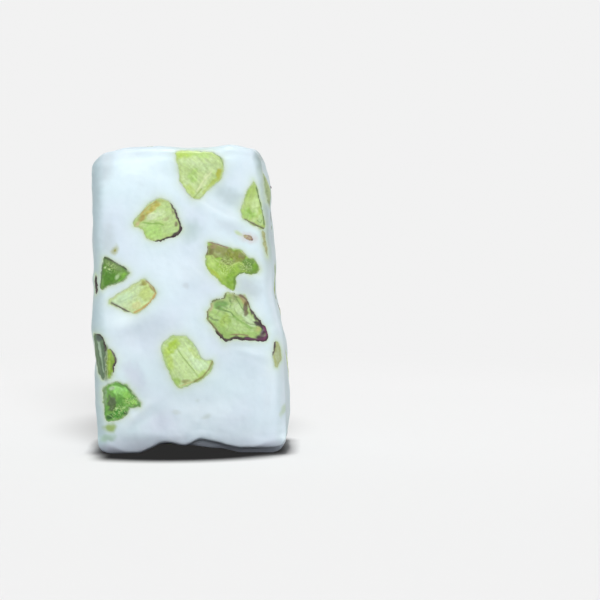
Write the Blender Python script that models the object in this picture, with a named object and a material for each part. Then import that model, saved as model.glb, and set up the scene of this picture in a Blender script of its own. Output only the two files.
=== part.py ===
"""A bar of white nougat with pistachio pieces, standing on one end.

The bar is one cast and cut block: a box with rounded edges, a little wider at its foot,
with soft lumps, and with a chipped front edge underneath. Every pistachio piece that
reaches the surface is a solid of its own in a pocket of the block. +Z is up, the front
faces -Y, and the origin is the middle of the foot.
"""
import math
import random

import bmesh
import bpy
from mathutils import Matrix, Vector, noise
from mathutils.bvhtree import BVHTree

MM = 0.001

# Driving dimensions of the bar, in millimetres.
WIDTH = 33.0
THICKNESS = 21.0
HEIGHT = 50.8
EDGE_RADIUS = 3.0
FOOT_RADIUS = 0.6           # height of the rounding under the foot's middle
CORNER_FOOT_RADIUS = 2.6    # the same at the two narrow sides
FRONT_FOOT_RADIUS = 0.8     # depth of the rounding along the front's lower edge
CORNER_ZONE = (10.5, 14.5)  # the foot's rounding grows between these distances aside
FRONT_ZONE = (1.2, 6.0)     # the front's rounding grows between these heights
FACE_STEP = 3.0             # spacing of the block's face grid between its rounded edges
ROUND_LINE = 0.586          # share of the radius that turns the surface by 22.5 degrees

# How far the two narrow sides stand from the middle: (height, reach), foot to top.
LEFT_SIDE = ((0.0, 15.8), (10.0, 15.8), (27.0, 16.4), (37.0, 16.6), (43.0, 16.2), (50.8, 16.4))
RIGHT_SIDE = ((0.0, 15.9), (7.0, 16.5), (17.0, 15.7), (22.0, 15.1), (27.0, 14.0), (42.0, 13.1),
              (50.8, 11.9))

# The upper end's unevenness: (place across, rise), fading out down the bar.
CREST = ((-16.5, -1.3), (-5.0, 0.1), (0.0, -0.2), (4.3, -0.3), (7.4, 0.0), (13.5, -0.8))
CREST_ZONE = 8.0

# Soft lumps all over.
LUMP_SIZE = 9.0
LUMP_RISE = 0.35
LUMP_SEED = Vector((3.1, 7.4, 1.9))

# Relief under the foot: (place across, rise). A hollow runs back from the front edge, and
# to its right a chip leaves the front face standing over the floor as a lip.
HOLLOW = ((-9.0, 0.0), (-4.0, 1.9), (-0.8, 1.45), (4.5, 0.75), (8.5, 0.0))
HOLLOW_DEPTH = 15.0
CHIP = ((-1.0, 0.0), (2.0, 1.35), (3.0, 1.3), (6.2, 0.85), (13.0, 1.05), (16.5, 0.7))
CHIP_DEPTH = 2.6
CHIP_RUN = 1.0              # the chip's back wall comes down over this depth
FOOT_ZONE = 7.0             # the relief under the foot fades out at this height

# Pistachio pieces.
FIT_GAP = 0.35              # between a piece and its pocket
CUTTER_PROUD = 1.5          # how far a pocket's cutter stands out of the surface
CORNER_CUT = 0.16           # share of each edge that rounds an outline's corner
INNER_SHARE = 0.70          # a piece tapers to this share of its outline inside
FACE_SINK = 0.04            # the pieces lie this much below the surface
DEPTH_SHARE = 0.42          # a piece's depth as a share of its smaller width
DEPTH_LIMITS = (1.0, 3.2)
TOP = 1000.0                # facing value of the upper end
FOOT = -1000.0              # facing value of the lower end

# The pieces that show from the front: name, facing in degrees (0 is the front, 90 the
# right side), place across and up, and the corners of the broken kernel from its middle,
# going round.
FRONT_PIECES = (
    ("front_top", 0, 1.6, 46.4,
     ((-4, 3.5), (2, 3.5), (3.8, 2.4), (4.2, 0.7), (3.7, -0.9), (1.9, -2.6), (0.1, -4.4),
      (-0.9, -4.4), (-2.9, -1.9), (-3.3, 0.9))),
    ("front_upper_left", 0, -5.0, 38.5,
     ((0.4, 3.9), (2, 3.1), (3.2, 1.2), (3.9, -1.1), (3.9, -1.8), (3, -2.4), (0, -3.4), (-1.8, -3.1),
      (-2.8, -1.3), (-4, -1), (-4, -0.2), (-3, 1.1), (-1.5, 2.8))),
    ("front_right_wedge", 0, 10.9, 40.3,
     ((-0.1, 5.1), (1, 1.4), (1.7, -2.8), (1.3, -3.3), (-1.8, -1.8), (-2.5, 0.1), (-1.1, 3.3))),
    ("front_two_tone", 0, 6.7, 31.6,
     ((-3.5, 3.5), (-0.3, 2.6), (1.9, 2), (2.9, 1.1), (4, 0.7), (5, -0.9), (4.5, -2), (1.7, -1.6),
      (1, -2.2), (1.1, -3.7), (0.6, -4.6), (-0.6, -4), (-3.3, -1.6), (-4.1, 0), (-3.7, 1.6))),
    ("front_large", 0, 7.2, 22.2,
     ((-1.2, 4.5), (0.5, 4.3), (1.7, 4.1), (2.5, 3.4), (2.7, 2.2), (4.4, -0.1), (5.4, -1.3),
      (5.9, -2.5), (5.3, -3.6), (2.8, -3.3), (0.1, -3.2), (-1.5, -3.7), (-4.4, 0.1), (-4.3, 1.5),
      (-3.3, 3.1), (-1.6, 3.7))),
    ("front_low_middle", 0, -0.9, 15.6,
     ((-2, 4), (0.2, 4.2), (1.8, 2.5), (2.8, 0.5), (3.6, 0), (4.9, 0), (4.4, -1.9), (3, -3.2),
      (0.5, -4.2), (-0.8, -4.6), (-1.6, -3.7), (-3.4, 0.1), (-3.7, 1.8), (-3.1, 3.1))),
    ("front_left_dark", 0, -12.8, 29.9,
     ((-1.4, 2.9), (1.5, 1.5), (2.6, 0.7), (3.3, 0), (2.1, -1.3), (0.3, -1.8), (-2, -3),
      (-1.7, 0.2))),
    ("front_left_pale", 0, -8.9, 25.8,
     ((1.6, 3.3), (2.9, 2.1), (3.7, 0.8), (2.9, -0.4), (1.4, -1.8), (-0.2, -2.6), (-1.6, -2.1),
      (-4.7, -0.6), (-1.2, 1.6))),
    ("edge_left", -28, -8.7, 16.0,
     ((-1.3, 4), (-0.1, 3.8), (0.7, 2.9), (1.1, 1.9), (1.2, -3.1), (0.6, -3.8), (-0.7, -2.4),
      (-1.4, 0.6))),
    ("front_left_bud", 0, -13.0, 15.0,
     ((-0.6, 2.4), (0, 2.5), (0.8, 1.5), (1.1, 0.4), (0.6, -0.7), (0.4, -1.9), (-0.1, -2.5),
      (-0.6, -2.4))),
    ("front_low_left", 0, -11.8, 8.7,
     ((-2.6, 2.3), (-1.7, 3), (-0.1, 3.4), (1.6, 2.8), (2.7, 1.2), (4, -0.6), (2.1, -0.9),
      (1.5, -2.1), (0.6, -2.8), (-1.5, -3.4), (-2, -2.8), (-2.3, -0.4))),
    ("edge_right_low", 40, 5.2, 16.6,
     ((-0.4, 2.3), (0.6, 1.4), (0.9, -1), (-0.5, -2.4), (-0.9, -0.4))),
    ("edge_right_sliver", 42, 3.2, 34.8,
     ((-0.5, 2.4), (0.1, 1.9), (0.5, -0.2), (0.7, -2.3), (0.3, -2.2), (-0.2, -0.2))),
    ("edge_left_sliver", -73, 3.7, 28.0,
     ((-0.3, 1.8), (0.3, 1.3), (0.4, -1.3), (-0.2, -1.7))),
    ("edge_right_upper", 74, -3.8, 43.6,
     ((-0.7, 2.9), (0.5, 2.4), (1, -0.5), (0.3, -2.9), (-0.8, -1.8))),
)

# The other faces hold pieces of the same kinds, laid by a seeded draw: name, facing, how
# many, half the span across, lowest and highest edge, lengths, widths and lean in degrees.
SCATTERED = (
    ("back", 180, 10, 15.4, (1.5, 49.0), (7.0, 10.5), (5.5, 7.5), 90),
    ("right", 90, 5, 9.4, (4.0, 48.0), (5.0, 9.0), (2.2, 3.6), 35),
    ("left", -90, 5, 9.4, (4.0, 48.0), (5.0, 9.0), (2.2, 3.6), 35),
    ("upper_end", TOP, 2, 12.0, (-8.0, 8.0), (4.5, 6.5), (2.5, 3.6), 90),
    ("foot", FOOT, 2, 12.0, (-8.0, 2.0), (4.5, 6.5), (2.5, 3.6), 90),
)
SCATTER_SEED = 41
SCATTER_TRIES = 2000
SCATTER_CORNERS = 6
SCATTER_UNEVEN = 0.26       # how far a corner may stray from an oval, as a share
WALL = 1.3                  # least nougat between two pieces

NOUGAT_COLOUR = (0.84, 0.88, 0.90, 1.0)
KERNEL_COLOURS = ((0.46, 0.62, 0.21, 1.0), (0.55, 0.68, 0.30, 1.0), (0.24, 0.42, 0.10, 1.0))
WAXY_ROUGHNESS = 0.42
KERNEL_ROUGHNESS = 0.5


def clear_scene():
    """Remove every object, so that only the bar is built."""
    for item in list(bpy.data.objects):
        bpy.data.objects.remove(item, do_unlink=True)


def make_collection(name):
    """Return a new collection linked to the scene."""
    group = bpy.data.collections.new(name)
    bpy.context.scene.collection.children.link(group)
    return group


def make_material(name, colour, roughness):
    """Return a Principled material of one colour."""
    material = bpy.data.materials.new(name)
    material.use_nodes = True
    shader = material.node_tree.nodes["Principled BSDF"]
    shader.inputs["Base Color"].default_value = colour
    shader.inputs["Roughness"].default_value = roughness
    return material


def smooth_share(value):
    """Ease a share from 0 to 1 with flat ends."""
    value = min(max(value, 0.0), 1.0)
    return value * value * (3.0 - 2.0 * value)


def profile_at(profile, place):
    """Read a (place, value) profile at a place, easing between its rows."""
    if place <= profile[0][0]:
        return profile[0][1]
    for (low, value_low), (high, value_high) in zip(profile, profile[1:]):
        if place <= high:
            share = smooth_share((place - low) / (high - low))
            return value_low + (value_high - value_low) * share
    return profile[-1][1]


def grid_lines(low, high, low_radii, high_radii):
    """Return grid positions between two faces: close on the rounded edges, even between."""
    start = low + max(low_radii)
    end = high - max(high_radii)
    count = max(1, round((end - start) / FACE_STEP))
    lines = {low, high}
    for radius in low_radii:
        lines |= {low + radius * ROUND_LINE, low + radius}
    for radius in high_radii:
        lines |= {high - radius * ROUND_LINE, high - radius}
    lines |= {start + (end - start) * step / count for step in range(1, count)}
    return sorted(lines)


def underside_lift(x, y):
    """How far the relief under the foot lifts the surface at a place."""
    behind_front = y + THICKNESS / 2
    hollow = profile_at(HOLLOW, x) * smooth_share(1.0 - behind_front / HOLLOW_DEPTH)
    chip = profile_at(CHIP, x) * smooth_share((CHIP_DEPTH - behind_front) / CHIP_RUN)
    return hollow + chip


def grow_between(zone, place, low_value, high_value):
    """Ease from one value to another across a zone."""
    return low_value + (high_value - low_value) * smooth_share(
        (place - zone[0]) / (zone[1] - zone[0]))


def rounding_at(x, y, z):
    """Return the radii of the rounding at a place on the plain box, along each axis."""
    across = EDGE_RADIUS
    deep = EDGE_RADIUS
    if y < 0:
        deep = grow_between(FRONT_ZONE, z, FRONT_FOOT_RADIUS, EDGE_RADIUS)
    tall = EDGE_RADIUS
    if z < HEIGHT / 2:
        tall = grow_between(CORNER_ZONE, abs(x), FOOT_RADIUS, CORNER_FOOT_RADIUS)
    return Vector((across, deep, tall))


def shape_block_point(x, y, z):
    """Turn a point on the plain box into one on the finished block."""
    radii = rounding_at(x, y, z)
    core = Vector((
        min(max(x, radii.x - WIDTH / 2), WIDTH / 2 - radii.x),
        min(max(y, radii.y - THICKNESS / 2), THICKNESS / 2 - radii.y),
        min(max(z, radii.z), HEIGHT - radii.z)))
    way_out = Vector(((x - core.x) / radii.x, (y - core.y) / radii.y, (z - core.z) / radii.z))
    way_out.normalize()
    point = core + way_out * radii
    on_foot = smooth_share(point.z / CORNER_FOOT_RADIUS)
    lump = noise.noise(point / LUMP_SIZE + LUMP_SEED) * 2.0 - 1.0
    point += way_out * lump * LUMP_RISE * on_foot
    side = LEFT_SIDE if point.x < 0 else RIGHT_SIDE
    point.x *= profile_at(side, point.z) / (WIDTH / 2)
    point.z += profile_at(CREST, point.x) * smooth_share(1.0 - (HEIGHT - point.z) / CREST_ZONE)
    fade = smooth_share(1.0 - point.z / FOOT_ZONE)
    point.z += underside_lift(point.x, point.y) * fade
    return point


def fit_to_size(points):
    """Scale and shift points so that their box has the named sizes, standing on zero."""
    lows = [min(point[axis] for point in points) for axis in range(3)]
    highs = [max(point[axis] for point in points) for axis in range(3)]
    sizes = (WIDTH, THICKNESS, HEIGHT)
    starts = (-WIDTH / 2, -THICKNESS / 2, 0.0)
    return [Vector([starts[axis] + sizes[axis] * (point[axis] - lows[axis])
                    / (highs[axis] - lows[axis]) for axis in range(3)]) for point in points]


def add_object(name, mesh_data, group, material=None):
    """Wrap a bmesh in a smooth-shaded object of a collection."""
    bmesh.ops.recalc_face_normals(mesh_data, faces=mesh_data.faces)
    mesh = bpy.data.meshes.new(name)
    mesh_data.to_mesh(mesh)
    mesh_data.free()
    mesh.shade_smooth()
    mesh.set_sharp_from_angle(angle=math.radians(40))
    if material:
        mesh.materials.append(material)
    item = bpy.data.objects.new(name, mesh)
    group.objects.link(item)
    return item


def build_block(group, material):
    """Build the nougat block from a cube that is cut into a grid and then shaped."""
    plain = (EDGE_RADIUS,)
    front = (FRONT_FOOT_RADIUS, EDGE_RADIUS)
    foot = (FOOT_RADIUS, CORNER_FOOT_RADIUS)
    lines = (grid_lines(-WIDTH / 2, WIDTH / 2, plain, plain),
             grid_lines(-THICKNESS / 2, THICKNESS / 2, front, plain),
             grid_lines(0.0, HEIGHT, foot, plain))
    block = bmesh.new()
    bmesh.ops.create_cube(block, size=2.0)
    for axis in range(3):
        along = [edge for edge in block.edges
                 if abs(edge.verts[0].co[axis] - edge.verts[1].co[axis]) > 1.0]
        bmesh.ops.subdivide_edges(block, edges=along, cuts=len(lines[axis]) - 2,
                                  use_grid_fill=True)
    shaped = []
    for vertex in block.verts:
        place = []
        for axis in range(3):
            steps = len(lines[axis]) - 1
            place.append(lines[axis][round((vertex.co[axis] + 1.0) / 2.0 * steps)])
        shaped.append(shape_block_point(*place))
    for vertex, point in zip(block.verts, fit_to_size(shaped)):
        vertex.co = point * MM
    return add_object("nougat", block, group, material)


def face_axes(facing):
    """Return the outward, across and up directions of a facing."""
    if facing == TOP:
        return Vector((0, 0, 1)), Vector((1, 0, 0)), Vector((0, 1, 0))
    if facing == FOOT:
        return Vector((0, 0, -1)), Vector((1, 0, 0)), Vector((0, -1, 0))
    angle = math.radians(facing)
    outward = Vector((math.sin(angle), -math.cos(angle), 0))
    return outward, Vector((math.cos(angle), math.sin(angle), 0)), Vector((0, 0, 1))


def round_corners(corners):
    """Cut each corner of an outline, which gives two points in its place."""
    outline = []
    count = len(corners)
    for index, corner in enumerate(corners):
        here = Vector(corner)
        before = Vector(corners[index - 1])
        after = Vector(corners[(index + 1) % count])
        outline.append(here.lerp(before, CORNER_CUT))
        outline.append(here.lerp(after, CORNER_CUT))
    return outline


def turns_left(outline):
    """Say whether an outline runs anticlockwise."""
    area = sum(a.x * b.y - b.x * a.y for a, b in zip(outline, outline[1:] + outline[:1]))
    return area > 0


def grow_outline(outline, distance):
    """Move every point of an anticlockwise outline outward by a distance."""
    grown = []
    count = len(outline)
    for index, point in enumerate(outline):
        along = (outline[(index + 1) % count] - outline[index - 1]).normalized()
        grown.append(point + Vector((along.y, -along.x)) * distance)
    return grown


def surface_ring(tree, piece, outline, sink):
    """Lay an outline on the block's surface and sink it by a distance, in metres."""
    facing, across, up = piece[1:4]
    outward, sideways, upward = face_axes(facing)
    ring = []
    for point in outline:
        place = sideways * (across + point.x) + upward * (up + point.y) + outward * HEIGHT * 2
        if facing in (TOP, FOOT):
            place.z += HEIGHT / 2
        hit = tree.ray_cast(place * MM, -outward)[0]
        if hit is None:
            raise ValueError("outline leaves the block: " + piece[0])
        ring.append(hit - outward * sink * MM)
    return ring


def ring_solid(rings):
    """Loft rings of points, outermost first, into one closed solid."""
    solid = bmesh.new()
    loops = [[solid.verts.new(point) for point in ring] for ring in rings]
    solid.faces.new(loops[0])
    solid.faces.new(loops[-1])
    for outer, inner in zip(loops, loops[1:]):
        for index in range(-1, len(outer) - 1):
            solid.faces.new((outer[index], outer[index + 1], inner[index + 1], inner[index]))
    return solid


def piece_depth(outline):
    """Return how deep a piece reaches into the block, from the size of its outline."""
    width = min(max(point[axis] for point in outline) - min(point[axis] for point in outline)
                for axis in range(2))
    low, high = DEPTH_LIMITS
    return min(max(width * DEPTH_SHARE, low), high)


def build_piece(tree, piece, parts, cutters, material):
    """Build one pistachio piece and the cutter of its pocket."""
    outline = round_corners(piece[4])
    if not turns_left(outline):
        outline.reverse()
    depth = piece_depth(outline)
    inside = [point * INNER_SHARE for point in outline]
    kernel = ring_solid((surface_ring(tree, piece, outline, FACE_SINK),
                         surface_ring(tree, piece, inside, depth)))
    add_object("pistachio_" + piece[0], kernel, parts, material)
    wide = grow_outline(outline, FIT_GAP)
    pocket = ring_solid((surface_ring(tree, piece, wide, -CUTTER_PROUD),
                         surface_ring(tree, piece, wide, FACE_SINK),
                         surface_ring(tree, piece, grow_outline(inside, FIT_GAP),
                                      depth + FIT_GAP)))
    cutter = add_object("pocket_" + piece[0], pocket, cutters)
    cutter.hide_render = True
    cutter.display_type = "WIRE"


def broken_kernel(draw, length, width, lean):
    """Return the corners of a broken kernel: an uneven upright oval that leans."""
    turn = Matrix.Rotation(math.radians(draw.uniform(-lean, lean)), 2)
    corners = []
    for index in range(SCATTER_CORNERS):
        angle = math.tau * (index + draw.uniform(-0.25, 0.25)) / SCATTER_CORNERS
        stray = 1.0 + draw.uniform(-SCATTER_UNEVEN, SCATTER_UNEVEN)
        oval = Vector((math.cos(angle) * width, math.sin(angle) * length)) * stray / 2
        corners.append(turn @ oval)
    return corners


def piece_reach(piece):
    """Return how far a piece's corners reach from its middle."""
    return max(Vector(corner).length for corner in piece[4])


def piece_middle(tree, piece):
    """Return the middle of a piece on the block's surface, in millimetres."""
    return surface_ring(tree, piece, (Vector((0.0, 0.0)),), 0.0)[0] / MM


def keeps_to_face(tree, piece):
    """Say whether a piece lies on the block with enough nougat around it."""
    corners = [Vector(corner) for corner in piece[4]]
    try:
        surface_ring(tree, piece, grow_outline(corners, FIT_GAP + WALL), 0.0)
    except ValueError:
        return False
    return True


def scatter_pieces(tree, placed):
    """Lay the hidden faces' pieces by a seeded draw, clear of those already placed."""
    draw = random.Random(SCATTER_SEED)
    taken = [(piece_middle(tree, piece), piece_reach(piece)) for piece in placed]
    pieces = []
    for name, facing, count, span, (lowest, highest), lengths, widths, lean in SCATTERED:
        found = 0
        for _ in range(SCATTER_TRIES):
            corners = broken_kernel(draw, draw.uniform(*lengths), draw.uniform(*widths), lean)
            reach = max(Vector(corner).length for corner in corners)
            across = draw.uniform(reach - span, span - reach)
            up = draw.uniform(lowest + reach, highest - reach)
            piece = ("%s_%d" % (name, found + 1), facing, across, up, corners)
            if not keeps_to_face(tree, piece):
                continue
            middle = piece_middle(tree, piece)
            if all((middle - other).length > reach + far + WALL for other, far in taken):
                taken.append((middle, reach))
                pieces.append(piece)
                found += 1
            if found == count:
                break
    return pieces


def main():
    """Build the block, its pieces and their pockets."""
    clear_scene()
    parts = make_collection("nougat_bar")
    cutters = make_collection("pockets")
    nougat_material = make_material("white_nougat", NOUGAT_COLOUR, WAXY_ROUGHNESS)
    kernel_materials = [make_material("kernel_" + str(index), colour, KERNEL_ROUGHNESS)
                        for index, colour in enumerate(KERNEL_COLOURS)]
    block = build_block(parts, nougat_material)
    tree = BVHTree.FromObject(block, bpy.context.evaluated_depsgraph_get())
    pieces = list(FRONT_PIECES)
    pieces += scatter_pieces(tree, pieces)
    for index, piece in enumerate(pieces):
        material = kernel_materials[index % len(kernel_materials)]
        build_piece(tree, piece, parts, cutters, material)
    cut = block.modifiers.new("pockets", "BOOLEAN")
    cut.operation = "DIFFERENCE"
    cut.solver = "EXACT"
    cut.operand_type = "COLLECTION"
    cut.collection = cutters


main()
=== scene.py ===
"""Looks of the pistachio nougat bar that stands on one end.

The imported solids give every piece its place. The nougat is one fine mesh that dips into a
pocket under each pistachio piece, and each piece is a broken kernel with a cut face, a
darker rim and remains of its purple-brown skin. Lengths are in millimetres until a mesh
is made.
"""

import math
import random

import bmesh
import bpy
import numpy as np
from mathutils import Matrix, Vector, noise
from mathutils.bvhtree import BVHTree


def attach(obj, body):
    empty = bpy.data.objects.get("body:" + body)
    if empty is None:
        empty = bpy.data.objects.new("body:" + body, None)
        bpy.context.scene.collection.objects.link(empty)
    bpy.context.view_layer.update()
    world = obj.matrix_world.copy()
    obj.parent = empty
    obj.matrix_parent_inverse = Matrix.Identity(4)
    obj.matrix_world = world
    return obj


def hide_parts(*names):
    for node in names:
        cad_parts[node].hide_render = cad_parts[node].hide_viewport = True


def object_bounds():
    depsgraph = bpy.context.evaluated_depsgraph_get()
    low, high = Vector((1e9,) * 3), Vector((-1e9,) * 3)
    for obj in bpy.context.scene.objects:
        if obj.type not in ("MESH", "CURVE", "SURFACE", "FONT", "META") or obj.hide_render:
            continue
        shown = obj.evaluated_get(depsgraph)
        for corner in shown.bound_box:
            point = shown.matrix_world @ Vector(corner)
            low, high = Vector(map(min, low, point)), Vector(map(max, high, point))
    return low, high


MM = 0.001

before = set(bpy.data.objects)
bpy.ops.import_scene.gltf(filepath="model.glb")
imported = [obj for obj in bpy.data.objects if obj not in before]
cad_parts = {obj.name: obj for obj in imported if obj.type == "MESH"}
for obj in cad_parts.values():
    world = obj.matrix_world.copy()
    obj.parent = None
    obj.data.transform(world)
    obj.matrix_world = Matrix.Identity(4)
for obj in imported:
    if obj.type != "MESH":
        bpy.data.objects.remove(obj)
cad_low, cad_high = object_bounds()
BOX_LOW = np.array(cad_low) / MM
BOX_HIGH = np.array(cad_high) / MM
WIDTH, THICKNESS, HEIGHT = BOX_HIGH - BOX_LOW

# The block's form, as in the solids.
EDGE_RADIUS = 3.0
FOOT_RADIUS = 0.6
CORNER_FOOT_RADIUS = 2.6
FRONT_FOOT_RADIUS = 0.8
CORNER_ZONE = (10.5, 14.5)
FRONT_ZONE = (1.2, 6.0)
LEFT_SIDE = ((0.0, 15.8), (10.0, 15.8), (27.0, 16.4), (37.0, 16.6), (43.0, 16.2), (50.8, 16.4))
RIGHT_SIDE = ((0.0, 15.9), (7.0, 16.5), (17.0, 15.7), (22.0, 15.1), (27.0, 14.0), (42.0, 13.1),
              (50.8, 11.9))
CREST = ((-16.5, -1.3), (-5.0, 0.1), (0.0, -0.2), (4.3, -0.3), (7.4, 0.0), (13.5, -0.8))
CREST_ZONE = 8.0
LUMP_SIZE = 9.0
LUMP_RISE = 0.35
LUMP_SEED = Vector((3.1, 7.4, 1.9))
HOLLOW = ((-9.0, 0.0), (-4.0, 1.9), (-0.8, 1.45), (4.5, 0.75), (8.5, 0.0))
HOLLOW_DEPTH = 15.0
CHIP = ((-1.0, 0.0), (2.0, 1.35), (3.0, 1.3), (6.2, 0.85), (13.0, 1.05), (16.5, 0.7))
CHIP_DEPTH = 2.6
CHIP_RUN = 1.0
FOOT_ZONE = 7.0

# The front's lower edge is bevelled: (place across, height of the bevel's crest).
BEVEL = ((-16.5, 2.2), (-12.0, 2.5), (-9.0, 3.4), (-6.0, 3.4), (-3.2, 2.7), (-0.2, 3.4),
         (2.6, 3.7), (6.0, 3.1), (12.0, 2.9), (16.5, 2.4))
BEVEL_SLOPE = 0.38
BEVEL_DEPTH = 4.0           # the lean fades out this far behind the front
BEVEL_EASE = 5.0            # sharpness of the crest

# The fine mesh of the nougat.
GRID_STEP = (0.26, 0.40, 0.26)
POCKET_DEPTH = 1.2
POCKET_WALL = 0.30
POCKET_LIP = -0.06          # the nougat laps this far over a piece's rim
FINE_LUMPS = ((4.2, 0.11), (1.7, 0.035), (0.7, 0.010))
SOFT_RUN = 2.6              # the broad faces begin to curve this far before the rounding
SOFT_CURVE = 0.030

# Soft marks on the nougat: facing in degrees, place across and up, half length, half
# width, lean in degrees and rise.
MARKS = (
    (0, 7.8, 42.5, 4.6, 1.9, -20, -0.50),
    (0, 4.7, 39.9, 4.6, 1.1, -27, 0.34),
    (0, -9.0, 46.0, 5.5, 3.4, 0, 0.22),
    (0, -11.2, 22.3, 2.4, 1.4, 12, 0.30),
    (0, -7.7, 20.5, 3.2, 1.6, 15, -0.22),
    (0, 10.4, 16.8, 2.6, 0.7, -14, 0.26),
    (0, 8.4, 17.8, 3.4, 0.6, -6, -0.16),
    (0, -8.8, 13.6, 2.6, 1.2, -62, -0.30),
    (0, -8.7, 6.6, 3.4, 0.9, 40, 0.30),
    (0, -5.5, 5.8, 1.6, 3.2, 10, -0.26),
    (0, 14.1, 10.3, 4.0, 1.1, 84, 0.24),
    (0, 12.1, 7.5, 3.6, 1.0, 80, -0.14),
    (0, -5.5, 32.6, 4.5, 2.0, 10, -0.18),
    (0, 0.9, 24.7, 3.5, 3.0, 0, -0.18),
    (0, 3.3, 9.5, 6.0, 2.4, 5, -0.18),
    (35, 5.4, 45.0, 3.2, 1.0, 66, -0.18),
    (60, 2.0, 43.5, 2.8, 0.8, 74, 0.12),
)
HIDDEN_MARKS = ((90, 12, 9.0, 0.18), (180, 14, 14.0, 0.40), (-90, 12, 9.0, 0.18))
MARK_SEED = 17
MARK_GAIN = 1.3


def smooth_share(value):
    """Ease shares from 0 to 1 with flat ends."""
    value = np.clip(value, 0.0, 1.0)
    return value * value * (3.0 - 2.0 * value)


def profile_at(profile, heights):
    """Read a (height, reach) profile at many heights, easing between its rows."""
    reach = np.full(heights.shape, profile[-1][1])
    for (low, reach_low), (high, reach_high) in reversed(list(zip(profile, profile[1:]))):
        share = smooth_share((heights - low) / (high - low))
        reach = np.where(heights <= high, reach_low + (reach_high - reach_low) * share, reach)
    return reach


def noise_field(points, size, seed=0.0):
    """Return smooth noise, about -1 to 1, of one size at many points."""
    shift = Vector((seed, seed * 1.7, seed * 0.6))
    return np.array([noise.noise(Vector(point) / size + shift) for point in points]) * 2.0


def underside_lift(x, y):
    """How far the relief under the foot lifts the surface at a place."""
    behind_front = y + THICKNESS / 2
    hollow = profile_at(HOLLOW, x) * smooth_share(1.0 - behind_front / HOLLOW_DEPTH)
    chip = profile_at(CHIP, x) * smooth_share((CHIP_DEPTH - behind_front) / CHIP_RUN)
    return hollow + chip


def grow_between(zone, places, low_value, high_value):
    """Ease from one value to another across a zone."""
    return low_value + (high_value - low_value) * smooth_share(
        (places - zone[0]) / (zone[1] - zone[0]))


def rounding_at(points):
    """Return the radii of the rounding at places on the plain box, along each axis."""
    across = np.full(len(points), EDGE_RADIUS)
    deep = np.where(points[:, 1] < 0, grow_between(FRONT_ZONE, points[:, 2], FRONT_FOOT_RADIUS,
                                                   EDGE_RADIUS), EDGE_RADIUS)
    tall = np.where(points[:, 2] < HEIGHT / 2,
                    grow_between(CORNER_ZONE, np.abs(points[:, 0]), FOOT_RADIUS,
                                 CORNER_FOOT_RADIUS), EDGE_RADIUS)
    return np.stack((across, deep, tall), 1)


def shape_block(points):
    """Turn points on the plain box into points on the block, and return their normals."""
    radii = rounding_at(points)
    core = np.clip(points, BOX_LOW + radii, BOX_HIGH - radii)
    way_out = (points - core) / radii
    way_out /= np.linalg.norm(way_out, axis=1)[:, None]
    shaped = core + way_out * radii
    on_foot = smooth_share(shaped[:, 2] / CORNER_FOOT_RADIUS)
    lump = np.array([noise.noise(Vector(point) / LUMP_SIZE + LUMP_SEED) for point in shaped])
    shaped += way_out * ((lump * 2.0 - 1.0) * LUMP_RISE * on_foot)[:, None]
    x = shaped[:, 0]
    shaped[:, 0] = x * np.where(x < 0, profile_at(LEFT_SIDE, shaped[:, 2]),
                                profile_at(RIGHT_SIDE, shaped[:, 2])) / (WIDTH / 2)
    crest = smooth_share(1.0 - (HEIGHT - shaped[:, 2]) / CREST_ZONE)
    shaped[:, 2] += profile_at(CREST, shaped[:, 0]) * crest
    fade = smooth_share(1.0 - shaped[:, 2] / FOOT_ZONE)
    shaped[:, 2] += underside_lift(shaped[:, 0], shaped[:, 1]) * fade
    return shaped, way_out


def add_bevel(points):
    """Lean the lowest part of the front inward below its uneven crest."""
    below = profile_at(BEVEL, points[:, 0]) - points[:, 2]
    front = smooth_share(1.0 - (points[:, 1] + THICKNESS / 2) / BEVEL_DEPTH)
    eased = np.log1p(np.exp(np.clip(below * BEVEL_EASE, -30.0, 30.0))) / BEVEL_EASE
    points[:, 1] += eased * BEVEL_SLOPE * front
    return points


def fit_to_box(points):
    """Scale and shift points so that their box is the solids' box."""
    low = points.min(axis=0)
    high = points.max(axis=0)
    return BOX_LOW + (points - low) / (high - low) * (BOX_HIGH - BOX_LOW)


def box_grid():
    """Return a mesh of the plain box cut into a fine grid, and its points."""
    counts = [max(2, round(size / step)) for size, step in
              zip((WIDTH, THICKNESS, HEIGHT), GRID_STEP)]
    grid = bmesh.new()
    bmesh.ops.create_cube(grid, size=2.0)
    for axis in range(3):
        along = [edge for edge in grid.edges
                 if abs(edge.verts[0].co[axis] - edge.verts[1].co[axis]) > 1.0]
        bmesh.ops.subdivide_edges(grid, edges=along, cuts=counts[axis] - 1, use_grid_fill=True)
    bmesh.ops.recalc_face_normals(grid, faces=grid.faces)
    mesh = bpy.data.meshes.new("nougat")
    grid.to_mesh(mesh)
    grid.free()
    flat = read_points(mesh)
    return mesh, BOX_LOW + (flat + 1.0) / 2.0 * (BOX_HIGH - BOX_LOW)


def read_points(mesh):
    """Return a mesh's points as an array."""
    flat = np.empty(len(mesh.vertices) * 3)
    mesh.vertices.foreach_get("co", flat)
    return flat.reshape(-1, 3)


def write_points(mesh, points):
    """Set a mesh's points, given in millimetres."""
    mesh.vertices.foreach_set("co", (points * MM).ravel())
    mesh.update()


def face_axes(facing):
    """Return the outward, across and up directions of an upright facing."""
    angle = math.radians(facing)
    return (np.array((math.sin(angle), -math.cos(angle), 0.0)),
            np.array((math.cos(angle), math.sin(angle), 0.0)), np.array((0.0, 0.0, 1.0)))


def turned(across, up, lean):
    """Turn distances across and up into distances along and beside a lean in degrees."""
    turn = math.radians(lean)
    return (across * math.cos(turn) + up * math.sin(turn),
            up * math.cos(turn) - across * math.sin(turn))


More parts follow.
